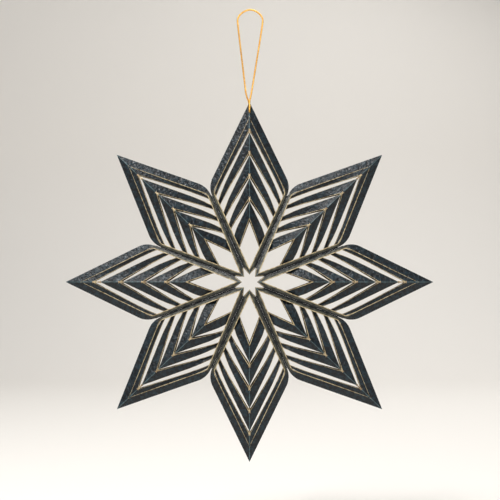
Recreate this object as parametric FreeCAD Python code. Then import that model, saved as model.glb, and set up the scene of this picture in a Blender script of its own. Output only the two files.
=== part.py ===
import FreeCAD, Part
import math
import os

# A hanging paper star with eight points. Each point is one folded and cut paper petal.
# Millimetres. The star stands in the XZ plane, +Z up, and its front faces -Y.
# The origin is the middle of the star. A petal is first made upright: x across, z along
# the petal and outwards, and height above the middle plane towards -Y.

# The star
petalCount = 8
reachSide = 121.8         # centre to tip of the six petals that aren't upright
reachUpright = 119.2      # centre to tip of the top and bottom petals, a little shorter
settle = 1.2              # how much nearer the horizontal the slanting petals lie, in degrees
edgeAngle = 26.0          # between a petal's straight edge and its middle fold
slantEdgeAngle = 24.4     # the same on the slanting petals, which are slimmer
edgeSlope = 22.0          # how steeply the front leaf rises inwards from its outer edge
shoulderRadius = 14.0     # round corner between the outer edge and the rib

# The paper
paper = 0.55              # thickness of one leaf
edgeHeight = 0.5          # half the thickness of the closed outer edge

# The rim: the outer band and the margins along the ribs
bandWidth = 4.75          # outer band, square to the edge
marginWidth = 2.3         # rib margin at its outer end, square to the rib
ribSlope = 0.2            # rise of the rib towards the centre, per millimetre
endReach = 5.0            # centre to the pointed inner end of a petal
endOpening = 8.3          # centre to the inner corner of the rim
ribStart = 10.6           # centre to where neighbouring petals begin to touch
ribGroove = 0.3           # from the rib's plane to the edge of a margin
wallThickness = 0.45      # the glued side wall, in the rib's plane
endWallDepth = 0.68       # the wall behind the pointed inner end, along the middle fold
wallDrop = 0.35           # top of the wall below the surface of the margin

# The strips. Widths are square to the outer edge, as seen from the front.
stripCount = 4
stripPitch = 15.3         # along the middle fold
firstStrip = 98.5         # the star's centre to the first strip's outer edge, along that fold
stripWidth = 5.6          # at the middle fold
turnWidth = 3.4           # where the strip begins to curl into the rib
ribWidth = 1.5            # at the rib
lastStripWidth = 4.9      # the innermost strip's three widths
lastTurnWidth = 6.9
lastRibWidth = 5.0
turnShare = 0.76          # share of the way from the fold to the rib where the curl begins
ribCurl = 2.0             # how far a strip's outer edge curls inwards at the rib
shadeWidth = 3.3          # band inside the rim, at the middle fold
shadeTurnWidth = 2.2      # and where it begins to curl
underRim = 0.5            # how far that band reaches under the rim
foldDrop = 0.5            # how far a strip's inner edge lies below the fold line
turnDrop = 1.4            # how far its inner edge has turned down where the curl begins
ribDrop = 2.6             # and at the rib
stripSeat = 0.95          # top of a strip at the rib, below the margin
stripLip = 0.2            # least height of a strip's end over its low side
midGap = 0.35             # clear height left above the middle plane
bridgeShare = 0.045       # share of the way to the rib that the paper left along the fold takes
bridgeLap = 1.2           # how far that paper laps the next strip
bridgeSink = 0.15         # how far it lies under that strip

# The hang hole
holeDiameter = 3.4
holeFromTip = 7.9

# The cord: from inside the hang hole, up over the front of the tip, round the peg that it hangs
# from, and down behind the tip into the hole again. Distances are from the tip of the top petal.
cordDiameter = 1.2
cordPoints = [
    (0.0, 0.0, -7.1), (0.0, -1.6, -7.15), (0.0, -2.6, -5.8), (0.0, -2.25, -3.4), (0.0, -1.5, 0.4),
    (0.9, -0.7, 3.9), (2.1, -0.3, 11.0), (8.35, 0.0, 49.5), (9.2, 0.0, 57.0), (0.7, 0.0, 62.6),
    (-8.15, 0.0, 57.3), (-7.6, 0.0, 49.5), (-3.05, 0.3, 11.5), (-2.2, 0.6, 4.4), (-0.4, 1.4, 0.6),
    (0.0, 2.25, -3.4), (0.0, 2.6, -5.8), (0.0, 1.6, -7.15), (0.0, 0.0, -7.1)]
bendShare = 0.45          # share of the shorter run that each bend takes up

slope = math.tan(math.radians(edgeSlope))
petalNames = ["petal_top", "petal_upper_right", "petal_right", "petal_lower_right",
              "petal_bottom", "petal_lower_left", "petal_left", "petal_upper_left"]


def solidFrom(bottom, top):
    """Closed solid between two loops of corners. Opposite sides are split along the same diagonal."""
    faces = []
    count = len(bottom)
    for i in range(1, count - 1):
        faces.append((bottom[0], bottom[i + 1], bottom[i]))
        faces.append((top[0], top[i], top[i + 1]))
    for i in range(count):
        j = (i + 1) % count
        if 2 * i < count:
            faces.append((bottom[i], bottom[j], top[j]))
            faces.append((bottom[i], top[j], top[i]))
        else:
            faces.append((bottom[i], bottom[j], top[i]))
            faces.append((bottom[j], top[j], top[i]))
    shell = Part.Shell([Part.Face(Part.makePolygon(list(f) + [f[0]])) for f in faces])
    solid = Part.Solid(shell)
    if solid.Volume < 0:
        solid.reverse()
    return solid


class Petal:
    """The right front quarter of a petal, and the whole petal made from it.

    The quarter is mirrored over the middle fold, and the front half over the middle plane, so
    that the petal is a flat hollow pocket of one folded paper, closed at its outer edges.
    """

    def __init__(self, reach, edge, halfTurn):
        self.reach = reach
        self.edge = edge
        self.halfTurn = halfTurn
        self.span = reach * math.sin(self.edge)
        self.corner = self.span / math.sin(self.edge + self.halfTurn)
        self.innerCorner = self.fromEdgeAndRib(bandWidth, marginWidth)
        x, z = self.innerCorner
        along = x * math.sin(self.halfTurn) + z * math.cos(self.halfTurn)
        rise = edgeHeight + bandWidth * slope - self.ribHeight(along)
        self.marginSlope = rise / marginWidth

    def fromEdgeAndRib(self, inward, offRib):
        """Point that lies inward of the outer edge and off the rib, both measured square."""
        a = self.span - inward
        turn = math.sin(self.edge + self.halfTurn)
        x = (a * math.sin(self.halfTurn) - offRib * math.sin(self.edge)) / turn
        z = (a * math.cos(self.halfTurn) + offRib * math.cos(self.edge)) / turn
        return x, z

    def onRib(self, along, offRib=0.0):
        """Point at a distance from the centre along the rib, and off it towards the fold."""
        x = along * math.sin(self.halfTurn) - offRib * math.cos(self.halfTurn)
        z = along * math.cos(self.halfTurn) + offRib * math.sin(self.halfTurn)
        return x, z

    def edgeLeaf(self, x, z):
        """Height of the leaf that rises inwards from the outer edge."""
        inward = self.span - x * math.cos(self.edge) - z * math.sin(self.edge)
        return edgeHeight + inward * slope

    def ribHeight(self, along):
        """Height of the valley between two petals."""
        return edgeHeight + (self.corner - along) * ribSlope

    def marginLeaf(self, x, z):
        """Height of the margin that rises from the valley towards the slots."""
        along = x * math.sin(self.halfTurn) + z * math.cos(self.halfTurn)
        offRib = z * math.sin(self.halfTurn) - x * math.cos(self.halfTurn)
        return self.ribHeight(along) + offRib * self.marginSlope

    def plate(self, outline, height, thickness, sink=0.0):
        """Flat piece of paper under the surface that height gives, over a plan outline."""
        top = [FreeCAD.Vector(x, -(height(x, z) - sink), z) for x, z in outline]
        bottom = [FreeCAD.Vector(x, -(height(x, z) - sink - thickness), z) for x, z in outline]
        return solidFrom(bottom, top)

    def rim(self):
        """Outer band and rib margin, with the round shoulder cut."""
        tip = (0.0, self.reach)
        apex = (0.0, self.reach - bandWidth / math.sin(self.edge))
        outer = self.onRib(self.corner, 0.0)
        ribOuter = self.onRib(self.corner - ribGroove, ribGroove)
        ribInner = self.onRib(ribStart, ribGroove)
        end = (0.0, endReach)
        opening = (0.0, endOpening)
        lift = paper / math.cos(math.radians(edgeSlope))
        band = self.plate([tip, outer, self.innerCorner, apex], self.edgeLeaf, lift)
        lift = paper * math.hypot(1.0, self.marginSlope)
        sideways = [ribOuter, ribInner, opening, self.innerCorner]
        margin = self.plate(sideways, self.marginLeaf, lift)
        nose = self.plate([ribInner, end, opening], self.marginLeaf, lift)
        return [band, margin, nose]

    def shoulderCutter(self):
        """What the round shoulder takes off the corner between the edge and the rib."""
        half = (self.edge + self.halfTurn) / 2.0
        back = shoulderRadius * math.tan(half)
        cx, cz = self.onRib(self.corner - back, shoulderRadius)
        x0, z0 = self.onRib(self.corner)
        x1, z1 = self.onRib(self.corner - back)
        x2 = x0 - back * math.sin(self.edge)
        z2 = z0 + back * math.cos(self.edge)
        x3 = x0 + back * math.cos(self.edge)
        z3 = z0 + back * math.sin(self.edge)
        x4 = x0 + back * math.cos(self.halfTurn)
        z4 = z0 - back * math.sin(self.halfTurn)
        deep = self.reach
        corners = [(x1, z1), (x4, z4), (x3, z3), (x2, z2)]
        points = [FreeCAD.Vector(x, deep, z) for x, z in corners]
        outline = Part.Face(Part.makePolygon(points + points[:1]))
        block = outline.extrude(FreeCAD.Vector(0, -2 * deep, 0))
        centre = FreeCAD.Vector(cx, deep, cz)
        shoulder = Part.makeCylinder(shoulderRadius, 2 * deep, centre, FreeCAD.Vector(0, -1, 0))
        return block.cut(shoulder)

    def wall(self):
        """Glued side wall along the rib, and the end wall round the star's middle."""
        half = (self.edge + self.halfTurn) / 2.0
        neck = self.corner - shoulderRadius * math.tan(half)
        side = [self.onRib(neck), self.onRib(ribStart)]
        side += [self.onRib(ribStart, wallThickness), self.onRib(neck, wallThickness)]
        end = [self.onRib(ribStart), (0.0, endReach)]
        end += [(0.0, endReach + endWallDepth), self.onRib(ribStart, wallThickness)]
        walls = []
        for outline in (side, end):
            top = [FreeCAD.Vector(x, wallDrop - self.marginLeaf(x, z), z) for x, z in outline]
            bottom = [FreeCAD.Vector(x, 0.0, z) for x, z in outline]
            walls.append(solidFrom(bottom, top))
        return walls

    def strip(self, inward, seenWidths, bridgeTo):
        """Paper strip from the fold to the rib, which curls inwards on its last stretch.

        inward is where its outer edge starts. seenWidths are those at the fold, where the curl
        begins and at the rib. bridgeTo is where the next strip starts, or None on the last one.
        """
        foldWidth, curlWidth, endWidth = seenWidths
        low = midGap + paper
        alongRib = (self.span - inward - ribCurl) / math.sin(self.edge + self.halfTurn)
        ribTop = max(self.ribHeight(alongRib) - stripSeat, low + stripLip)
        foldTop = edgeHeight + inward * slope
        shares = [0.0, bridgeShare, turnShare, 1.0]
        starts = [inward, inward, inward, inward + ribCurl]
        widths = [foldWidth, foldWidth, curlWidth, endWidth]
        drops = [foldDrop, foldDrop, turnDrop, ribDrop]
        if bridgeTo is not None:
            widths[0] = bridgeTo + bridgeLap * math.sin(self.edge) - inward
            drops[0] = bridgeSink
        sections = []
        for share, start, width, drop in zip(shares, starts, widths, drops):
            x0, z0 = self.between(start, share)
            x1, z1 = self.between(start + width, share)
            top = foldTop + (ribTop - foldTop) * share
            flat = top + width * slope * (1 - share)
            bottom = max(flat - drop, min(top, low))
            across = math.hypot(math.hypot(x1 - x0, z1 - z0), bottom - top)
            plan = math.hypot(x1 - x0, z1 - z0)
            nx = (x0 - x1) / plan * (top - bottom) / across
            nz = (z0 - z1) / plan * (top - bottom) / across
            outer = FreeCAD.Vector(x0, -top, z0)
            inner = FreeCAD.Vector(x1, -bottom, z1)
            down = FreeCAD.Vector(nx, plan / across, nz) * paper
            if x0 == 0.0:
                down = FreeCAD.Vector(0, paper, 0)
            sections.append([outer, inner, inner + down, outer + down])
        return [solidFrom(near, far) for near, far in zip(sections[:-1], sections[1:])]

    def between(self, inward, share):
        """Plan point at an inward distance and a share of the way from the fold to the side wall."""
        foldOff = (self.span - inward) / math.sin(self.edge) * math.sin(self.halfTurn)
        return self.fromEdgeAndRib(inward, foldOff + (wallThickness / 2.0 - foldOff) * share)

    def strips(self):
        """The shaded band inside the rim, and the free strips, each bridged to the next one."""
        starts = [self.span - (firstStrip - i * stripPitch) * math.sin(self.edge)
                  for i in range(stripCount)]
        shade = [shadeWidth + underRim, shadeTurnWidth + underRim, ribWidth]
        pieces = self.strip(bandWidth - underRim, shade, starts[0])
        for start, following in zip(starts[:-1], starts[1:]):
            pieces += self.strip(start, [stripWidth, turnWidth, ribWidth], following)
        return pieces + self.strip(starts[-1], [lastStripWidth, lastTurnWidth, lastRibWidth], None)

    def build(self, hole):
        pieces = self.rim() + self.wall() + self.strips()
        quarter = pieces[0].multiFuse(pieces[1:]).cut(self.shoulderCutter())
        origin = FreeCAD.Vector(0, 0, 0)
        half = quarter.fuse(quarter.mirror(origin, FreeCAD.Vector(1, 0, 0)))
        whole = half.fuse(half.mirror(origin, FreeCAD.Vector(0, 1, 0))).removeSplitter()
        if hole:
            deep = FreeCAD.Vector(0, self.reach, self.reach - holeFromTip)
            drill = Part.makeCylinder(holeDiameter / 2.0, 2 * self.reach, deep, FreeCAD.Vector(0, -1, 0))
            whole = whole.cut(drill)
        return whole


def cordPath(points):
    """Straight runs through the points, joined by tangent arcs. Returns the edges and the radii."""
    edges = []
    radii = []
    start = points[0]
    for before, corner, after in zip(points[:-2], points[1:-1], points[2:]):
        back = (before - corner).normalize()
        ahead = (after - corner).normalize()
        half = (math.pi - back.getAngle(ahead)) / 2.0
        reach = bendShare * min((before - corner).Length, (after - corner).Length)
        radius = reach / math.tan(half)
        radii.append(radius)
        first = corner + back * reach
        last = corner + ahead * reach
        inwards = (back + ahead).normalize()
        middle = corner + inwards * (radius / math.cos(half) - radius)
        edges.append(Part.LineSegment(start, first).toShape())
        edges.append(Part.Arc(first, middle, last).toShape())
        start = last
    edges.append(Part.LineSegment(start, points[-1]).toShape())
    return edges, radii


def cordPiece(piece):
    """Round cord along one straight run or one bend."""
    start = piece.valueAt(piece.FirstParameter)
    heading = piece.tangentAt(piece.FirstParameter)
    section = Part.Face(Part.Wire(Part.makeCircle(cordDiameter / 2.0, start, heading)))
    if isinstance(piece.Curve, Part.Circle):
        turn = math.degrees(piece.Length / piece.Curve.Radius)
        return section.revolve(piece.Curve.Center, piece.Curve.Axis, turn)
    return section.extrude(heading * piece.Length)


def hangingCord(tip):
    """Closed ring of cord through the hang hole and over the peg."""
    points = [FreeCAD.Vector(x, y, tip + z) for x, y, z in cordPoints]
    edges, radii = cordPath(points)
    tubes = [cordPiece(piece) for piece in edges]
    ring = tubes[0].multiFuse(tubes[1:]).removeSplitter()
    length = sum(e.Length for e in edges)
    full = math.pi * cordDiameter ** 2 / 4.0 * length
    print("cord length", round(length, 1), "radii", [round(r, 1) for r in radii])
    print("cord volume", round(ring.Volume, 2), "section times length", round(full, 2))
    return ring


def spread(k):
    """Reach, edge angle, direction clockwise from the top and half the angle a petal takes up."""
    even = 360.0 / petalCount
    if k in (0, petalCount // 2):
        return reachUpright, edgeAngle, even * k, even / 2.0 + settle
    if k in (petalCount // 4, 3 * petalCount // 4):
        return reachSide, edgeAngle, even * k, even / 2.0 - settle
    # clockwise towards the horizontal in the upper right and lower left, else the other way
    turn = settle if k % (petalCount // 2) < petalCount // 4 else -settle
    return reachSide, slantEdgeAngle, even * k + turn, even / 2.0


os.makedirs("parts", exist_ok=True)

for k in range(petalCount):
    reach, edgeTurn, direction, halfAngle = spread(k)
    petal = Petal(reach, math.radians(edgeTurn), math.radians(halfAngle)).build(k == 0)
    petal.rotate(FreeCAD.Vector(0, 0, 0), FreeCAD.Vector(0, 1, 0), direction)
    print(petalNames[k], "solids", len(petal.Solids), "valid", petal.isValid())
    print("    volume", round(petal.Volume, 1))
    petal.exportStep("parts/" + petalNames[k] + ".step")

cord = hangingCord(reachUpright)
print("hanging_cord solids", len(cord.Solids), "valid", cord.isValid())
cord.exportStep("parts/hanging_cord.step")
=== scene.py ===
import math
import bpy
import numpy as np
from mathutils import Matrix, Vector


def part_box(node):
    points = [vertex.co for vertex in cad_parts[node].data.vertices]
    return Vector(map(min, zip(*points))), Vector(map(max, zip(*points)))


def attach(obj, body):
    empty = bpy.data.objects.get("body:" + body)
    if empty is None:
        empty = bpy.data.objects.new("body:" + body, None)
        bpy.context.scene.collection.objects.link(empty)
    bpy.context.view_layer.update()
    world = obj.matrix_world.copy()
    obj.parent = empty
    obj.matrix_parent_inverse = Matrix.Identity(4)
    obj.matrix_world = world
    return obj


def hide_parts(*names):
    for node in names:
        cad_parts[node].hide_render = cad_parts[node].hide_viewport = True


# A hanging paper star with eight folded and cut petals, on a metallic gold cord.
# The star stands in the XZ plane and its front faces -Y. Dictionaries hold millimetres.

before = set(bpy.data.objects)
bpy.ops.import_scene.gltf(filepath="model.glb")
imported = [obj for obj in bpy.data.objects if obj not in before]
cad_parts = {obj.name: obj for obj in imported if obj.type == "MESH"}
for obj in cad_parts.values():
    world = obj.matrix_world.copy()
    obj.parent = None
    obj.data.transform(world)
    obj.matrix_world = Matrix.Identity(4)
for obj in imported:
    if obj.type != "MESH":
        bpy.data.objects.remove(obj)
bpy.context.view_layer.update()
body = "root"
mm = 0.001

star = {
    "petals": ["petal_top", "petal_upper_right", "petal_right", "petal_lower_right",
               "petal_bottom", "petal_lower_left", "petal_left", "petal_upper_left"],
    "settle": 1.2,           # how much nearer the horizontal the slanting petals lie, in degrees
    "edgeAngle": 26.0,       # between the straight outer edge and the middle fold
    "slantEdgeAngle": 24.4,  # the same on the slanting petals, which are slimmer
    "edgeSlope": 22.0,       # how steeply the leaf rises from that edge
    "edgeHeight": 0.5,       # half the thickness of the closed edge
    "sharp": 32.0,           # degrees, from which an edge of the paper is shaded as a corner
    "paper": 0.5,
    "apart": 0.01,           # least distance of a leaf's back from the middle plane
}
slope = math.tan(math.radians(star["edgeSlope"]))


# Plan of a petal: x across, z along it and outwards, both from the star's middle

def fromEdgeAndRib(plan, inward, offRib):
    # the point that lies inward of the outer edge and off the rib, both measured square
    a = plan["span"] - inward
    turn = math.sin(plan["edge"] + plan["half"])
    x = (a * math.sin(plan["half"]) - offRib * math.sin(plan["edge"])) / turn
    z = (a * math.cos(plan["half"]) + offRib * math.cos(plan["edge"])) / turn
    return np.stack(np.broadcast_arrays(x, z), -1)


def onRib(plan, along, offRib=0.0):
    # the point at a distance from the middle along the rib, and off it towards the fold
    x = along * math.sin(plan["half"]) - offRib * math.cos(plan["half"])
    z = along * math.cos(plan["half"]) + offRib * math.sin(plan["half"])
    return np.array([x, z])


def byRib(plan, x, z):
    # distance along the rib and off it, for plan points in the right half
    along = x * math.sin(plan["half"]) + z * math.cos(plan["half"])
    return along, z * math.sin(plan["half"]) - x * math.cos(plan["half"])


def petalPlan(k, reachUpright, reachSide):
    # the slanting petals have settled towards the horizontal, which leaves the upright ones
    # wider and the level ones narrower
    count = len(star["petals"])
    even = 2 * math.pi / count
    settle = math.radians(star["settle"])
    turn = (0, settle, 0, -settle)[k % 4]
    reach = reachSide if k % 4 else reachUpright
    angle = math.radians(star["slantEdgeAngle"] if k % 2 else star["edgeAngle"])
    plan = {"reach": reach, "edge": angle, "span": reach * math.sin(angle),
            "direction": even * k + turn, "half": even / 2 + (settle, 0, -settle, 0)[k % 4]}
    plan["corner"] = plan["span"] / math.sin(plan["edge"] + plan["half"])
    plan["slotCorner"] = fromEdgeAndRib(plan, rim["band"], rim["margin"])
    along = byRib(plan, *plan["slotCorner"])[0]
    rise = star["edgeHeight"] + rim["band"] * slope - ribHeight(plan, along)
    plan["marginSlope"] = rise / rim["margin"]
    return plan


def ribHeight(plan, along):
    # height of the valley between two petals, which rises towards the middle of the star
    return star["edgeHeight"] + (plan["corner"] - along) * rim["ribSlope"]


def leafPlanes(plan, x, z):
    # heights of the two planes of a rim, one rising from the outer edge and one from the rib
    crest = np.sqrt(x ** 2 + rim["foldRadius"] ** 2)
    fromEdge = star["edgeHeight"] + slope * (
        plan["span"] - crest * math.cos(plan["edge"]) - z * math.sin(plan["edge"]))
    along, offRib = byRib(plan, x, z)
    return fromEdge, ribHeight(plan, along) + offRib * plan["marginSlope"]


def roundedLine(corners, radii, counts):
    # straight runs with round corners: an arc begins radius over the tangent of half the
    # inner angle before its corner; counts are the steps of each run and each arc in turn
    corners = np.array(corners, float)
    parts = []
    start = corners[0]
    for i, radius in enumerate(radii):
        corner = corners[i + 1]
        back = corners[i] - corner
        ahead = corners[i + 2] - corner
        back /= np.linalg.norm(back)
        ahead /= np.linalg.norm(ahead)
        half = math.acos(np.clip(back @ ahead, -1, 1)) / 2
        cut = radius / math.tan(half)
        first = corner + back * cut
        share = np.arange(counts[2 * i])[:, None] / counts[2 * i]
        parts.append(start + (first - start) * share)
        if radius > 0:
            turn = math.pi - 2 * half
            angle = np.arange(counts[2 * i + 1])[:, None] / counts[2 * i + 1] * turn
            inwards = ahead + back * math.cos(turn)
            inwards /= np.linalg.norm(inwards)
            parts.append(first - back * radius * np.sin(angle)
                         + inwards * radius * (1 - np.cos(angle)))
        start = corner + ahead * cut
    share = np.arange(counts[-1] + 1)[:, None] / counts[-1]
    parts.append(start + (corners[-1] - start) * share)
    return np.concatenate(parts)


# Sheets of paper: a grid of points for each face, closed round its edges

def closedSheet(front, back, cyclic, edgeMap, foldMap):
    # front and back are grids of rows by columns of points; edgeMap and foldMap are two
    # values for each grid point, which the material reads
    rows, columns = front.shape[:2]
    index = np.arange(rows * columns).reshape(rows, columns)
    if cyclic:
        index = np.concatenate([index, index[:1]])
    other = index + rows * columns

    def quads(a, b, c, d):
        return np.stack([a, b, c, d], -1).reshape(-1, 4)

    faces = [quads(index[:-1, :-1], index[1:, :-1], index[1:, 1:], index[:-1, 1:]),
             quads(other[:-1, :-1], other[:-1, 1:], other[1:, 1:], other[1:, :-1]),
             quads(index[:-1, 0], other[:-1, 0], other[1:, 0], index[1:, 0]),
             quads(index[:-1, -1], index[1:, -1], other[1:, -1], other[:-1, -1])]
    if not cyclic:
        faces += [quads(index[0, :-1], index[0, 1:], other[0, 1:], other[0, :-1]),
                  quads(index[-1, :-1], other[-1, :-1], other[-1, 1:], index[-1, 1:])]
    faces = np.concatenate(faces)
    points = np.concatenate([front.reshape(-1, 3), back.reshape(-1, 3)])
    maps = [np.concatenate([m.reshape(-1, 2)] * 2) for m in (edgeMap, foldMap)]
    # a closed shell whose volume comes out negative has its faces turned round
    a, b, c, d = (points[faces[:, i]] for i in range(4))
    volume = np.sum(a * np.cross(b, c)) + np.sum(a * np.cross(c, d))
    if volume < 0:
        faces = faces[:, ::-1]
    return points, faces, maps[0], maps[1]


def underside(front, thickness, cyclic=False):
    # each point moved back along its own normal, and kept in front of the middle plane
    if cyclic:
        along = np.roll(front, -1, 0) - np.roll(front, 1, 0)
    else:
        along = np.gradient(front, axis=0)
    normal = np.cross(along, np.gradient(front, axis=1))
    normal /= np.linalg.norm(normal, axis=2, keepdims=True)
    normal *= -np.sign(normal[:, :, 1:2])
    back = front - normal * thickness
    back[:, :, 1] = np.minimum(back[:, :, 1], -star["apart"])
    return back


def mirrored(sheet):
    # the same sheet behind the middle plane, with its faces turned so that they point outwards
    points, faces, edgeMap, foldMap = sheet
    return points * [1, -1, 1], faces[:, ::-1], edgeMap, foldMap


def runningLength(line):
    # length along a line of points up to each of them
    steps = np.linalg.norm(np.diff(line, axis=0), axis=1)
    return np.concatenate([[0.0], np.cumsum(steps)])


# The rim: outer band, round shoulders and the margins along the ribs, in one piece

rim = {
    "band": 4.75,            # square to the outer edge
    "margin": 2.3,           # square to the rib, at its outer end
    "shoulder": 14.0,
    "slotShoulder": 4.5,     # round corner of the opening inside the shoulder
    "groove": 0.3,           # from the rib's plane to the margin
    "ribStart": 10.6,        # where neighbouring petals begin to touch
    "ribSlope": 0.2,         # its rise towards the middle, per millimetre
    "endReach": 5.0,         # from the star's middle to the petal's inner end
    "endOpening": 8.3,       # and to the inner corner of its opening
    "endCorner": 0.045,      # share of the opening's side where that corner begins
    "endWear": 0.1,          # how much less far the gold reaches there
    "foldRadius": 0.35,
    "creaseRadius": 0.12,
    # shares across the rim, and steps along each run and each corner of its outline
    "across": [0, 0.06, 0.16, 0.32, 0.5, 0.68, 0.84, 0.94, 1],
    "steps": [60, 14, 44, 0, 8],
}


def rimSheet(plan):
    # outer outline to the edge of the opening, in straight steps across, the leaf's height
    # at each point, then the other half by mirroring, which closes the ring
    corner = fromEdgeAndRib(plan, 0.0, rim["groove"])
    ribEnd = onRib(plan, rim["ribStart"], rim["groove"])
    outer = roundedLine([(0, plan["reach"]), corner, ribEnd, (0, rim["endReach"])],
                        [rim["shoulder"], 0], rim["steps"])
    apex = (0, plan["reach"] - rim["band"] / math.sin(plan["edge"]))
    opening = np.array([0, rim["endOpening"]])
    slotEnd = opening + (plan["slotCorner"] - opening) * rim["endCorner"]
    inner = roundedLine([apex, plan["slotCorner"], slotEnd, opening],
                        [rim["slotShoulder"], 0], rim["steps"])
    across = np.array(rim["across"])[None, :, None]
    flat = outer[:, None] * (1 - across) + inner[:, None] * across
    # the lower plane counts; the crease between them is rounded by a root of the sum of squares
    fromEdge, fromRib = leafPlanes(plan, flat[..., 0], flat[..., 1])
    apart = (fromEdge - fromRib) / 2
    height = (fromEdge + fromRib) / 2 - np.sqrt(apart ** 2 + rim["creaseRadius"] ** 2)
    half = np.stack([flat[..., 0], -height, flat[..., 1]], -1)
    ring = np.concatenate([half, half[-2:0:-1] * [-1, 1, 1]])
    # for the material: length along the cut edge and distance from it, distance from the
    # fold, and 1 on the margins along the ribs, where the paper is rubbed
    fromCut = np.linalg.norm(flat - inner[:, None], axis=2)
    # round the star's middle the rim's other edge is worn to the same pale gold
    nose = slice(-rim["steps"][-1], None)
    fromEnd = np.linalg.norm(flat[nose] - outer[nose, None], axis=2) + rim["endWear"]
    fromCut[nose] = np.minimum(fromCut[nose], fromEnd)
    length = np.broadcast_to(runningLength(inner)[:, None], fromCut.shape)
    rubbed = np.clip(0.5 + apart / rim["creaseRadius"] / 2, 0, 1)
    edgeMap = np.stack([length, fromCut], -1)
    foldMap = np.stack([flat[..., 0], rubbed], -1)
    edgeMap, foldMap = (np.concatenate([m, m[-2:0:-1]]) for m in (edgeMap, foldMap))
    return closedSheet(ring, underside(ring, star["paper"], True), True, edgeMap, foldMap)


# The strips: flat at the fold, curling inwards where they meet the rib

strip = {
    "count": 4,
    "pitch": 15.3,           # along the middle fold
    "first": 98.5,           # the star's middle to the first strip's outer edge, along the fold
    "width": 5.6,            # at the fold
    "lastWidth": 4.9,
    "turnWidth": 3.4,        # where the curl begins
    "lastTurnWidth": 6.9,
    "ribWidth": 1.5,
    "lastRibWidth": 5.0,
    "turn": 0.76,            # share of the way to the rib where the curl begins
    "curl": 2.0,             # how far the outer edge curls inwards at the rib
    "curlFrom": 0.64,        # share of the way where that curl begins
    "foldDrop": 0.5,         # inner edge below the leaf's slope, at the fold
    "turnDrop": 1.4,         # where the curl begins
    "ribDrop": 2.6,          # and at the rib
    "seat": 0.95,            # below the margin at the rib
    "lip": 0.2,              # least height of a strip's end over its low side
    "midGap": 0.35,          # clear of the middle plane
    "crown": 0.14,           # how far the paper bows up between its edges
    "outerEdge": 0.2,        # the outer edge's gilding reaches that much less far over
    "shadeWidth": 3.3,       # the band inside the rim, at the fold
    "shadeTurnWidth": 2.2,   # and where its curl begins
    "underRim": 0.5,         # what of it lies under the rim
    "steps": 44,
    "crowding": 1.25,        # above 1 the steps crowd towards the rib
    "soften": 0.06,          # half the window that rounds a change of width or drop
    "across": [0, 0.07, 0.2, 0.4, 0.6, 0.8, 0.93, 1],
}


def between(plan, inward, share):
    # plan point at an inward distance and a share of the way from the fold to the side wall
    foldOff = (plan["span"] - inward) / math.sin(plan["edge"]) * math.sin(plan["half"])
    return fromEdgeAndRib(plan, inward, foldOff + (wall["thickness"] / 2 - foldOff) * share)


def easedBetween(share, stations, values):
    # straight lines between the stations, averaged over a short window so that they join softly
    window = np.linspace(-strip["soften"], strip["soften"], 9)[:, None]
    return np.mean(np.interp(np.clip(share[None] + window, 0, 1), stations, values), axis=0)


def stripSheet(plan, inward, foldWidth, turnWidth, ribWidth):
    # width, height and drop of the inner edge run from fold to rib; the strip is straight
    # across but for a slight crown, and its other half mirrors it over the fold
    share = 1 - (1 - np.linspace(0, 1, strip["steps"])) ** strip["crowding"]
    stations = [0, strip["turn"], 1]
    width = easedBetween(share, stations, [foldWidth, turnWidth, ribWidth])
    drop = easedBetween(share, stations, [strip["foldDrop"], strip["turnDrop"], strip["ribDrop"]])
    bend = np.clip((share - strip["curlFrom"]) / (1 - strip["curlFrom"]), 0, 1)
    start = inward + strip["curl"] * bend ** 2
    low = strip["midGap"] + star["paper"]
    alongRib = (plan["span"] - inward - strip["curl"]) / math.sin(plan["edge"] + plan["half"])
    ribTop = max(ribHeight(plan, alongRib) - strip["seat"], low + strip["lip"])
    foldTop = star["edgeHeight"] + inward * slope
    top = foldTop + (ribTop - foldTop) * share
    bottom = np.maximum(top + width * slope * (1 - share) - drop, np.minimum(top, low))
    across = np.array(strip["across"])
    flat = between(plan, start[:, None] + width[:, None] * across, share[:, None])
    height = top[:, None] + (bottom - top)[:, None] * across
    height = height + strip["crown"] * 4 * across * (1 - across)
    half = np.stack([flat[..., 0], -height, flat[..., 1]], -1)
    whole = np.concatenate([half[:0:-1] * [-1, 1, 1], half])
    fromInner = np.linalg.norm(half - half[:, -1:], axis=2)
    fromOuter = np.linalg.norm(half - half[:, :1], axis=2) + strip["outerEdge"]
    length = np.broadcast_to(runningLength(half[:, -1])[:, None], fromInner.shape)
    edgeMap = np.stack([length, np.minimum(fromInner, fromOuter)], -1)
    foldMap = np.stack([flat[..., 0], 0 * length], -1)
    edgeMap, foldMap = (np.concatenate([m[:0:-1], m]) for m in (edgeMap, foldMap))
    return closedSheet(whole, underside(whole, star["paper"]), False, edgeMap, foldMap)


# The paper left along the fold between the strips, worn to a light brown

bridge = {
    "middle": 0.42,          # half its width
    "flare": 0.5,            # what it widens by where it meets a strip
    "sink": 0.12,            # below the strips' faces
    "lap": 0.5,              # what it laps of each strip
    "steps": 14,
    "acrossSteps": 7,
}


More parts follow.
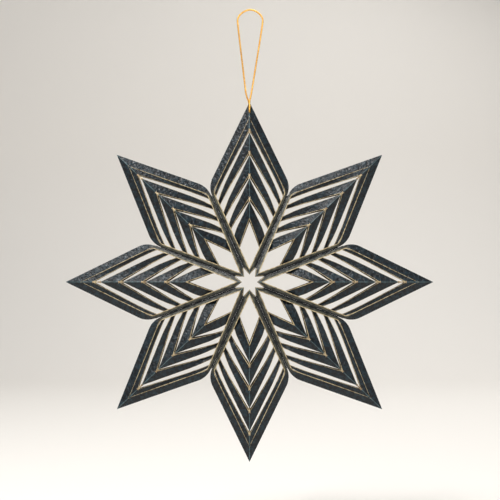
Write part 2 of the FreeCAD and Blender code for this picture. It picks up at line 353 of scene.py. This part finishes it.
def bridgeSheet(plan, fromInward, fromHeight, toInward):
    # a narrow roof along the fold, from one strip's inner edge to the next one's outer edge,
    # whose half width grows with the fourth power of the distance from its middle
    share = np.linspace(0, 1, bridge["steps"])[:, None]
    across = np.linspace(-1, 1, bridge["acrossSteps"])[None]
    z0 = (plan["span"] - fromInward) / math.sin(plan["edge"]) + bridge["lap"]
    z1 = (plan["span"] - toInward) / math.sin(plan["edge"]) - bridge["lap"]
    toHeight = star["edgeHeight"] + toInward * slope
    half = bridge["middle"] + bridge["flare"] * np.abs(2 * share - 1) ** 4
    x = half * across
    crest = np.sqrt(x ** 2 + rim["foldRadius"] ** 2) - rim["foldRadius"]
    height = fromHeight + (toHeight - fromHeight) * share - bridge["sink"] - crest * slope
    z = (z0 + (z1 - z0) * share) * np.ones_like(x)
    front = np.stack([x, -height, z], -1)
    edgeMap = np.stack([z, half - np.abs(x)], -1)
    # the negative second value marks bare paper
    foldMap = np.stack([np.abs(x), 0 * x - 1], -1)
    return closedSheet(front, underside(front, star["paper"]), False, edgeMap, foldMap)


# The glued walls along the ribs and round the star's middle

wall = {
    "drop": 0.35,            # top of the wall below the face of the margin
    "thickness": 0.45,
    "clear": 0.02,           # from the rib's plane, so that two walls don't share a face
    "steps": [24, 0, 6],
    "levels": 5,
    "plain": 9.0,            # a distance from cut edges and folds at which the paper shows neither
}


def wallSheet(plan):
    # the line of the wall from one rib round the inner end to the other, carried up and down
    # to just under the two leaves, with its thickness inwards
    half = (plan["edge"] + plan["half"]) / 2
    neck = onRib(plan, plan["corner"] - rim["shoulder"] * math.tan(half), wall["clear"])
    ribEnd = onRib(plan, rim["ribStart"], wall["clear"])
    line = roundedLine([neck, ribEnd, (0, rim["endReach"])], [0], wall["steps"])
    line = np.concatenate([line, line[-2::-1] * [-1, 1]])
    along, offRib = byRib(plan, np.abs(line[:, 0]), line[:, 1])
    top = ribHeight(plan, along) + offRib * plan["marginSlope"] - wall["drop"]
    level = np.linspace(-1, 1, wall["levels"])
    heading = np.gradient(line, axis=0)
    heading /= np.linalg.norm(heading, axis=1, keepdims=True)
    inwards = np.stack([heading[:, 1], -heading[:, 0]], -1)
    middle = [0, plan["reach"] / 2]
    inwards *= np.sign(np.sum(inwards * (middle - line), axis=1, keepdims=True))
    shell = []
    for offset in (0, wall["thickness"]):
        flat = line + inwards * offset
        x, z = (np.repeat(flat[:, i:i + 1], len(level), axis=1) for i in (0, 1))
        shell.append(np.stack([x, top[:, None] * level, z], -1))
    edgeMap = np.stack([np.repeat(along[:, None], len(level), axis=1), 0 * x + wall["plain"]], -1)
    foldMap = np.stack([0 * x + wall["plain"], 0 * x], -1)
    return closedSheet(shell[0], shell[1], False, edgeMap, foldMap)


def petalSheets(plan):
    # front sheets and their mirror images behind, as the front and back leaves are alike,
    # and the walls that join them
    starts = [plan["span"] - (strip["first"] - i * strip["pitch"]) * math.sin(plan["edge"])
              for i in range(strip["count"])]
    widths = [strip["width"]] * (strip["count"] - 1) + [strip["lastWidth"]]
    turnWidths = [strip["turnWidth"]] * (strip["count"] - 1) + [strip["lastTurnWidth"]]
    ribWidths = [strip["ribWidth"]] * (strip["count"] - 1) + [strip["lastRibWidth"]]
    shadeStart = rim["band"] - strip["underRim"]
    shadeWidth = strip["shadeWidth"] + strip["underRim"]
    shadeTurnWidth = strip["shadeTurnWidth"] + strip["underRim"]
    front = [stripSheet(plan, shadeStart, shadeWidth, shadeTurnWidth, strip["ribWidth"])]
    front += [stripSheet(plan, *sizes) for sizes in zip(starts, widths, turnWidths, ribWidths)]
    leading = [shadeStart] + starts[:-1]
    for start, width, following in zip(leading, [shadeWidth] + widths, starts):
        fromHeight = star["edgeHeight"] + (start + width) * slope - strip["foldDrop"]
        front.append(bridgeSheet(plan, start + width, fromHeight, following))
    return front + [mirrored(sheet) for sheet in front] + [wallSheet(plan)]


def joined(sheets):
    # one set of points, faces and maps from several closed sheets
    starts = np.cumsum([0] + [len(sheet[0]) for sheet in sheets[:-1]])
    faces = np.concatenate([sheet[1] + start for sheet, start in zip(sheets, starts)])
    points, edgeMap, foldMap = (np.concatenate([s[i] for s in sheets]) for i in (0, 2, 3))
    return points, faces, edgeMap, foldMap


def makeMesh(name, sheet, material):
    points, faces, edgeMap, foldMap = sheet
    mesh = bpy.data.meshes.new(name)
    mesh.from_pydata((points * mm).tolist(), [], faces.tolist())
    mesh.update()
    corners = np.empty(len(mesh.loops), np.int32)
    mesh.loops.foreach_get("vertex_index", corners)
    for mapName, values in (("cutEdge", edgeMap), ("fold", foldMap)):
        layer = mesh.uv_layers.new(name=mapName)
        layer.uv.foreach_set("vector", values[corners].astype(np.float32).ravel())
    mesh.polygons.foreach_set("use_smooth", np.ones(len(mesh.polygons), bool))
    mesh.set_sharp_from_angle(angle=math.radians(star["sharp"]))
    mesh.materials.append(material)
    made = bpy.data.objects.new(name, mesh)
    bpy.context.scene.collection.objects.link(made)
    return made


def turned(sheet, angle):
    # turned about +Y, which is clockwise seen from the front
    points, faces, edgeMap, foldMap = sheet
    c, s = math.cos(angle), math.sin(angle)
    turn = np.array([[c, 0, s], [0, 1, 0], [-s, 0, c]])
    return points @ turn.T, faces, edgeMap, foldMap


# Hang hole in the top petal

hole = {"diameter": 3.4, "fromTip": 7.9, "sides": 40, "depth": 9.0}


def drilled(piece, reach):
    # a round cutter through both leaves; its wall becomes the cut edge of the hole
    angle = np.linspace(0, 2 * math.pi, hole["sides"], endpoint=False)
    ring = np.stack([np.cos(angle), 0 * angle, np.sin(angle)], -1) * hole["diameter"] / 2
    ring += [0, 0, reach - hole["fromTip"]]
    points = np.concatenate([ring + [0, y, 0] for y in (-hole["depth"], hole["depth"])])
    index = np.arange(hole["sides"])
    following = np.roll(index, -1)
    sides = np.stack([index, following, following + hole["sides"], index + hole["sides"]], -1)
    mesh = bpy.data.meshes.new("holeCutter")
    caps = [index[::-1].tolist(), (index + hole["sides"]).tolist()]
    mesh.from_pydata((points * mm).tolist(), [], sides.tolist() + caps)
    for mapName in ("cutEdge", "fold"):
        mesh.uv_layers.new(name=mapName)
    flat = np.zeros(2 * len(mesh.loops), np.float32)
    for layer in mesh.uv_layers:
        layer.uv.foreach_set("vector", flat)
    mesh.materials.append(piece.data.materials[0])
    cutter = bpy.data.objects.new("holeCutter", mesh)
    bpy.context.scene.collection.objects.link(cutter)
    cut = piece.modifiers.new("hole", "BOOLEAN")
    cut.operation = "DIFFERENCE"
    cut.solver = "EXACT"
    cut.use_self = True
    cut.object = cutter
    bpy.context.view_layer.update()
    done = bpy.data.meshes.new_from_object(piece.evaluated_get(bpy.context.evaluated_depsgraph_get()))
    piece.modifiers.clear()
    piece.data = done
    bpy.data.objects.remove(cutter)


# Materials

def linear(code):
    # an sRGB hex value as linear colour
    parts = [int(code[i:i + 2], 16) / 255 for i in (1, 3, 5)]
    return [p / 12.92 if p <= 0.04045 else ((p + 0.055) / 1.055) ** 2.4 for p in parts] + [1.0]


def addNode(tree, kind, settings=None, inputs=None):
    # a node with its own settings, and its inputs as values or as sockets to link
    node = tree.nodes.new(kind)
    for name, value in (settings or {}).items():
        setattr(node, name, value)
    for name, value in (inputs or {}).items():
        if isinstance(value, bpy.types.NodeSocket):
            tree.links.new(value, node.inputs[name])
        else:
            node.inputs[name].default_value = value
    return node


def newMaterial(name):
    material = bpy.data.materials.new(name)
    material.use_nodes = True
    material.node_tree.nodes.clear()
    return material, material.node_tree


def ranged(tree, value, fromRange, toRange):
    # the value's first range carried onto the second one, and held at its ends
    made = addNode(tree, "ShaderNodeMapRange", {"clamp": True}, {
        "Value": value, "From Min": fromRange[0], "From Max": fromRange[1],
        "To Min": toRange[0], "To Max": toRange[1]})
    return made.outputs["Result"]


def maths(tree, operation, first, second, clamp=False):
    made = addNode(tree, "ShaderNodeMath", {"operation": operation, "use_clamp": clamp},
                   {0: first, 1: second})
    return made.outputs["Value"]


def mixed(tree, share, first, second):
    # two colours, or a colour and what is laid over it, by a share from 0 to 1
    made = addNode(tree, "ShaderNodeMix", {"data_type": "RGBA"},
                   {"Factor": share, 6: first, 7: second})
    return made.outputs[2]


def perMetre(millimetres):
    # texture scale at which one cell of a pattern is that long
    return 1000.0 / millimetres


paperLook = {
    "ink": "#060a0f",        # dyed through
    "inkLight": "#16272f",   # where the dye took less
    "gilt": "#c9b892",       # pale gold ink on the cut edges
    "giltDark": "#84704f",   # where it has rubbed thin
    "rub": "#5a594c",        # the margins along the ribs, handled when glued
    "rubDark": "#171a17",
    "crest": "#688184",      # the fold's worn crest
    "core": "#8a5c40",       # bare core of the card, on the paper left along the fold
    "blotch": 2.1,           # mm, uneven dye and the soft dents of an embossed leather grain
    "blotchRange": (0.42, 0.66),   # of the noise, over which the dye goes from dark to light
    "giltRange": (0.35, 0.6),      # and over which the gold does
    "dent": 0.9,             # mm, depth of those dents
    "grain": 0.7,            # mm, its fine cells
    "grainDepth": 0.12,      # mm
    "valleyShade": (1.35, 1.9),     # mm from a margin's cut edge, where the painted shade of the valley begins
    "valleyShadeShare": (1.0, 0.1),       # how much of the rubbed grey is left before and in that painted shade
    "streak": (3.5, 0.5),    # mm, length and width of the rubbed streaks
    "streakRange": (0.38, 0.62),
    "rubShare": 0.95,
    "giltWidth": 0.42,       # mm of the face beside a cut edge
    "giltSteps": (0.3, 0.12),      # mm short of that width, between which the gold fades
    "ragged": 0.3,           # mm, how uneven the gold's border is
    "crestWidth": (0.12, 0.3),     # mm from the fold, between which the worn crest fades
    "crestShare": 0.85,
    "bareRange": (0.3, 0.6),
    "bareShare": (0.4, 0.9),
    "glossRange": (0.3, 0.7),
    "gloss": (0.34, 0.5),    # roughness
    "specular": 0.34,
}


def embossedPaper():
    # dyed card pressed with a leather grain: dark, satin, unevenly dyed, gilded along its cut
    # edges, rubbed grey in streaks along the ribs but for painted shade in the valley at each rib, and
    # worn on the fold
    material, tree = newMaterial("embossedDyedCard")

    place = addNode(tree, "ShaderNodeTexCoord").outputs["Object"]
    cutMap = addNode(tree, "ShaderNodeUVMap", {"uv_map": "cutEdge"}).outputs["UV"]
    foldMap = addNode(tree, "ShaderNodeUVMap", {"uv_map": "fold"}).outputs["UV"]
    cutAt = addNode(tree, "ShaderNodeSeparateXYZ", None, {"Vector": cutMap})
    foldAt = addNode(tree, "ShaderNodeSeparateXYZ", None, {"Vector": foldMap})
    blotch = addNode(tree, "ShaderNodeTexNoise", None, {
        "Vector": place, "Scale": perMetre(paperLook["blotch"]), "Detail": 3.0,
        "Distortion": 0.6}).outputs["Fac"]
    grain = addNode(tree, "ShaderNodeTexVoronoi", {"feature": "SMOOTH_F1"}, {
        "Vector": place, "Scale": perMetre(paperLook["grain"]), "Smoothness": 0.5})
    fine = addNode(tree, "ShaderNodeTexNoise", None, {
        "Vector": place, "Scale": perMetre(paperLook["grain"]), "Detail": 3.0}).outputs["Fac"]
    stretch = addNode(tree, "ShaderNodeMapping", None, {
        "Vector": cutMap, "Scale": [1 / size for size in paperLook["streak"]] + [1]})
    streak = addNode(tree, "ShaderNodeTexNoise", None, {
        "Vector": stretch.outputs["Vector"], "Scale": 1.0, "Detail": 2.0}).outputs["Fac"]

    dye = mixed(tree, ranged(tree, blotch, paperLook["blotchRange"], (0, 1)),
                linear(paperLook["ink"]), linear(paperLook["inkLight"]))
    rub = mixed(tree, ranged(tree, streak, paperLook["streakRange"], (0, 1)),
                linear(paperLook["rubDark"]), linear(paperLook["rub"]))
    # painted shade: towards the valley between two margins the rubbed grey gives way to the dark ink
    valleyShade = ranged(tree, cutAt.outputs["Y"], paperLook["valleyShade"], paperLook["valleyShadeShare"])
    rub = mixed(tree, valleyShade, linear(paperLook["ink"]), rub)
    rubbed = maths(tree, "MULTIPLY", foldAt.outputs["Y"], paperLook["rubShare"], True)
    colour = mixed(tree, rubbed, dye, rub)
    crest = ranged(tree, foldAt.outputs["X"], paperLook["crestWidth"], (paperLook["crestShare"], 0))
    colour = mixed(tree, maths(tree, "MULTIPLY", crest, blotch), colour, linear(paperLook["crest"]))
    # bare core, where the fold map's second value is negative
    bare = maths(tree, "MULTIPLY", foldAt.outputs["Y"], -1.0, True)
    patchy = ranged(tree, fine, paperLook["bareRange"], paperLook["bareShare"])
    colour = mixed(tree, maths(tree, "MULTIPLY", bare, patchy), colour, linear(paperLook["core"]))
    # gilding: full at the cut, gone past its width, which the fine noise makes uneven
    uneven = maths(tree, "MULTIPLY", fine, paperLook["ragged"])
    ragged = maths(tree, "SUBTRACT", cutAt.outputs["Y"], uneven)
    border = [paperLook["giltWidth"] - step for step in paperLook["giltSteps"]]
    giltTone = mixed(tree, ranged(tree, blotch, paperLook["giltRange"], (0, 1)),
                     linear(paperLook["giltDark"]), linear(paperLook["gilt"]))
    colour = mixed(tree, ranged(tree, ragged, border, (1, 0)), colour, giltTone)
    soft = addNode(tree, "ShaderNodeBump", None, {
        "Height": blotch, "Strength": 1.0, "Distance": paperLook["dent"] * mm})
    relief = addNode(tree, "ShaderNodeBump", None, {
        "Height": grain.outputs["Distance"], "Strength": 0.4,
        "Distance": paperLook["grainDepth"] * mm, "Normal": soft.outputs["Normal"]})
    shader = addNode(tree, "ShaderNodeBsdfPrincipled", None, {
        "Base Color": colour, "Normal": relief.outputs["Normal"],
        "Roughness": ranged(tree, fine, paperLook["glossRange"], paperLook["gloss"]),
        "Specular IOR Level": paperLook["specular"]})
    addNode(tree, "ShaderNodeOutputMaterial", None, {"Surface": shader.outputs["BSDF"]})
    return material


threadLook = {
    "gold": "#f8c766",
    "goldDark": "#d0902f",
    "flake": 0.5,            # mm, length of a foil's facet along the thread
    "flakeDepth": 0.1,       # mm
    "gloss": (0.28, 0.5),    # roughness, from facet to facet
    "metallic": 0.85,
}


def metallicThread():
    # foil wound on a core: bright metal broken into small facets, each turned its own way
    material, tree = newMaterial("woundMetallicThread")
    place = addNode(tree, "ShaderNodeTexCoord")
    facet = addNode(tree, "ShaderNodeTexVoronoi", None,
                    {"Vector": place.outputs["Object"], "Scale": perMetre(threadLook["flake"])})
    split = addNode(tree, "ShaderNodeSeparateXYZ", None, {"Vector": facet.outputs["Color"]})
    tone = mixed(tree, split.outputs["X"], linear(threadLook["goldDark"]), linear(threadLook["gold"]))
    relief = addNode(tree, "ShaderNodeBump", None,
                     {"Height": facet.outputs["Distance"], "Strength": 0.3,
                      "Distance": threadLook["flakeDepth"] * mm})
    shader = addNode(tree, "ShaderNodeBsdfPrincipled", None,
                     {"Base Color": tone, "Metallic": threadLook["metallic"],
                      "Roughness": ranged(tree, split.outputs["Y"], (0, 1), threadLook["gloss"]),
                      "Normal": relief.outputs["Normal"]})
    addNode(tree, "ShaderNodeOutputMaterial", None, {"Surface": shader.outputs["BSDF"]})
    return material


# The cord

cord = {
    "diameter": 1.2,
    "plies": 3,
    "pitch": 4.2,            # one turn of the twist
    "plyShare": 0.6,         # a ply's thickness, as a share of the cord's
    "sides": 10,
    "stepsPerPoint": 40,
    "swing": [4.0, 16.0],    # above the tip, where the twist's reference turns from X to Y
    "length": 152.0,
    "route": [
        (0.0, 0.0, -7.1), (0.0, -1.6, -7.15), (0.0, -2.6, -5.8), (0.0, -2.25, -3.4),
        (0.0, -1.5, 0.4), (0.9, -0.7, 3.9), (2.1, -0.3, 11.0), (8.35, 0.0, 49.5),
        (9.2, 0.0, 57.0), (0.7, 0.0, 62.6), (-8.15, 0.0, 57.3), (-7.6, 0.0, 49.5),
        (-3.05, 0.3, 11.5), (-2.2, 0.6, 4.4), (-0.4, 1.4, 0.6), (0.0, 2.25, -3.4),
        (0.0, 2.6, -5.8), (0.0, 1.6, -7.15), (0.0, 0.0, -7.1)],   # z from the top petal's tip
}


def cordLine(tip):
    # the route's points as control points of one smooth spline, read back as a line of points
    curve = bpy.data.curves.new("cordRoute", "CURVE")
    curve.dimensions = "3D"
    spline = curve.splines.new("NURBS")
    spline.points.add(len(cord["route"]) - 1)
    control = np.array(cord["route"]) + [0, 0, tip]
    control = np.concatenate([control * mm, np.ones((len(control), 1))], 1)
    spline.points.foreach_set("co", control.astype(np.float32).ravel())
    spline.order_u = 3
    spline.use_endpoint_u = True
    spline.resolution_u = cord["stepsPerPoint"]
    route = bpy.data.objects.new("cordRoute", curve)
    bpy.context.scene.collection.objects.link(route)
    bpy.context.view_layer.update()
    mesh = bpy.data.meshes.new_from_object(route.evaluated_get(bpy.context.evaluated_depsgraph_get()))
    line = np.empty(3 * len(mesh.vertices), np.float32)
    mesh.vertices.foreach_get("co", line)
    bpy.data.objects.remove(route)
    bpy.data.meshes.remove(mesh)
    return line.reshape(-1, 3).astype(float) / mm


def cordPlies(line, tip):
    # each ply winds round the line: its centre turns with the length along it, and its
    # round section lies square to the line, so all of them together fill the cord's width
    length = runningLength(line)
    heading = np.gradient(line, length, axis=0)
    heading /= np.linalg.norm(heading, axis=1, keepdims=True)
    low, high = cord["swing"]
    swing = np.clip((line[:, 2:] - tip - low) / (high - low), 0, 1)
    swing = swing * swing * (3 - 2 * swing)
    reference = np.concatenate([1 - swing, swing, 0 * swing], 1)
    side = np.cross(heading, reference)
    side /= np.linalg.norm(side, axis=1, keepdims=True)
    up = np.cross(heading, side)
    thick = cord["diameter"] * cord["plyShare"] / 2
    out = cord["diameter"] / 2 - thick
    turns = round(length[-1] / cord["pitch"])
    around = np.linspace(0, 2 * math.pi, cord["sides"], endpoint=False)
    shells = []
    for ply in range(cord["plies"]):
        angle = 2 * math.pi * (turns * length / length[-1] + ply / cord["plies"])
        centre = line + out * (np.cos(angle)[:, None] * side + np.sin(angle)[:, None] * up)
        ring = (np.cos(around)[None, :, None] * side[:, None]
                + np.sin(around)[None, :, None] * up[:, None]) * thick
        shells.append(centre[:-1, None] + ring[:-1])
    return shells


def tubeMesh(name, shells, material):
    # closed tubes from grids of rings, the last ring joined to the first
    rows, sides = shells[0].shape[:2]
    index = np.arange(rows * sides).reshape(rows, sides)
    ahead = np.roll(index, -1, 0)
    quads = np.stack([index, np.roll(index, -1, 1), np.roll(ahead, -1, 1), ahead], -1).reshape(-1, 4)
    points = np.concatenate([shell.reshape(-1, 3) for shell in shells])
    faces = np.concatenate([quads + i * rows * sides for i in range(len(shells))])
    a, b, c, d = (points[faces[:, i]] for i in range(4))
    if np.sum(a * np.cross(b, c)) + np.sum(a * np.cross(c, d)) < 0:
        faces = faces[:, ::-1]
    mesh = bpy.data.meshes.new(name)
    mesh.from_pydata((points * mm).tolist(), [], faces.tolist())
    mesh.update()
    mesh.polygons.foreach_set("use_smooth", np.ones(len(mesh.polygons), bool))
    mesh.materials.append(material)
    made = bpy.data.objects.new(name, mesh)
    bpy.context.scene.collection.objects.link(made)
    return made


# Making the pieces

card = embossedPaper()
thread = metallicThread()
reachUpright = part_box("petal_top")[1][2] / mm
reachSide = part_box("petal_right")[1][0] / mm
for k, name in enumerate(star["petals"]):
    plan = petalPlan(k, reachUpright, reachSide)
    ring = rimSheet(plan)
    angle = plan["direction"]
    rimPiece = makeMesh("rim_" + name, turned(joined([ring, mirrored(ring)]), angle), card)
    if k == 0:
        drilled(rimPiece, plan["reach"])
    leaves = makeMesh("strips_" + name, turned(joined(petalSheets(plan)), angle), card)
    for piece in (rimPiece, leaves):
        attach(piece, body)
        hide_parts(name)
    print("made", name)

line = cordLine(reachUpright)
hangingCord = tubeMesh("goldCord", cordPlies(line, reachUpright), thread)
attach(hangingCord, body)
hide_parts("hanging_cord")
print("made the cord")


# Stage, lights and camera

stage = {
    "floor": -0.19,          # metres, below the lowest tip
    "behind": 1.7,
    "bend": 0.5,
    "top": 3.0,
    "front": -4.0,
    "half": 5.0,
    "colour": "#e8e4de",
}


def makeStage():
    # floor that bends up into a backdrop: a line of points carried sideways
    angle = np.linspace(0, math.pi / 2, 24)
    y = np.concatenate([[stage["front"]], stage["behind"] - stage["bend"] + stage["bend"] * np.sin(angle),
                        [stage["behind"]]])
    z = np.concatenate([[0], stage["bend"] * (1 - np.cos(angle)), [stage["top"]]]) + stage["floor"]
    x = np.array([-stage["half"], stage["half"]])
    points = np.stack(np.broadcast_arrays(x[None], y[:, None], z[:, None]), -1)
    index = np.arange(points.size // 3).reshape(points.shape[:2])
    faces = np.stack([index[:-1, 0], index[:-1, 1], index[1:, 1], index[1:, 0]], -1)
    mesh = bpy.data.meshes.new("studioFloor")
    mesh.from_pydata(points.reshape(-1, 3).tolist(), [], faces.tolist())
    mesh.polygons.foreach_set("use_smooth", np.ones(len(mesh.polygons), bool))
    material, tree = newMaterial("mattStudioPaper")
    shader = addNode(tree, "ShaderNodeBsdfPrincipled", None,
                     {"Base Color": linear(stage["colour"]), "Roughness": 0.9})
    addNode(tree, "ShaderNodeOutputMaterial", None, {"Surface": shader.outputs["BSDF"]})
    mesh.materials.append(material)
    made = bpy.data.objects.new("studioFloor", mesh)
    bpy.context.scene.collection.objects.link(made)


lamps = {
    "key": {"place": (-0.42, -0.72, 1.12), "size": 0.5, "watts": 27.0},
    "fill": {"place": (0.9, -1.2, 0.1), "size": 1.2, "watts": 5.0},
    "back": {"place": (0.5, 1.0, 1.3), "size": 1.2, "watts": 16.0},
}


def makeLamps():
    for name, lamp in lamps.items():
        light = bpy.data.lights.new(name, "AREA")
        light.shape = "DISK"
        light.size = lamp["size"]
        light.energy = lamp["watts"]
        made = bpy.data.objects.new(name, light)
        made.location = lamp["place"]
        made.rotation_mode = "QUATERNION"
        made.rotation_quaternion = (-made.location).to_track_quat("-Z", "Y")
        bpy.context.scene.collection.objects.link(made)
    world = bpy.data.worlds.new("studio")
    bpy.context.scene.world = world
    world.use_nodes = True
    tree = world.node_tree
    tree.nodes.clear()
    sight = addNode(tree, "ShaderNodeLightPath")
    room = addNode(tree, "ShaderNodeBackground", None, {"Color": (1, 1, 1, 1), "Strength": 0.14})
    seen = addNode(tree, "ShaderNodeBackground", None,
                   {"Color": linear(stage["colour"]), "Strength": 1.0})
    both = addNode(tree, "ShaderNodeMixShader", None, {"Fac": sight.outputs["Is Camera Ray"]})
    tree.links.new(room.outputs["Background"], both.inputs[1])
    tree.links.new(seen.outputs["Background"], both.inputs[2])
    addNode(tree, "ShaderNodeOutputWorld", None, {"Surface": both.outputs["Shader"]})


view = {
    "pixels": 500,           # the photograph's side
    "perPixel": 0.663,       # mm at the star
    "starAt": (249.5, 282.0),
    "distance": 650.0,
    "sensor": 36.0,
}


def makeCamera():
    # straight in front of the star's middle, with the lens shifted up as the star hangs low
    camera = bpy.data.cameras.new("camera")
    camera.sensor_width = view["sensor"]
    camera.lens = view["sensor"] * view["distance"] / (view["pixels"] * view["perPixel"])
    camera.shift_x = 0.5 - view["starAt"][0] / view["pixels"]
    camera.shift_y = view["starAt"][1] / view["pixels"] - 0.5
    made = bpy.data.objects.new("camera", camera)
    made.location = (0, -view["distance"] * mm, 0)
    made.rotation_euler = (math.pi / 2, 0, 0)
    bpy.context.scene.collection.objects.link(made)
    bpy.context.scene.camera = made


makeStage()
makeLamps()
makeCamera()
bpy.context.scene.view_settings.view_transform = "Standard"
print("made the stage, lamps and camera")
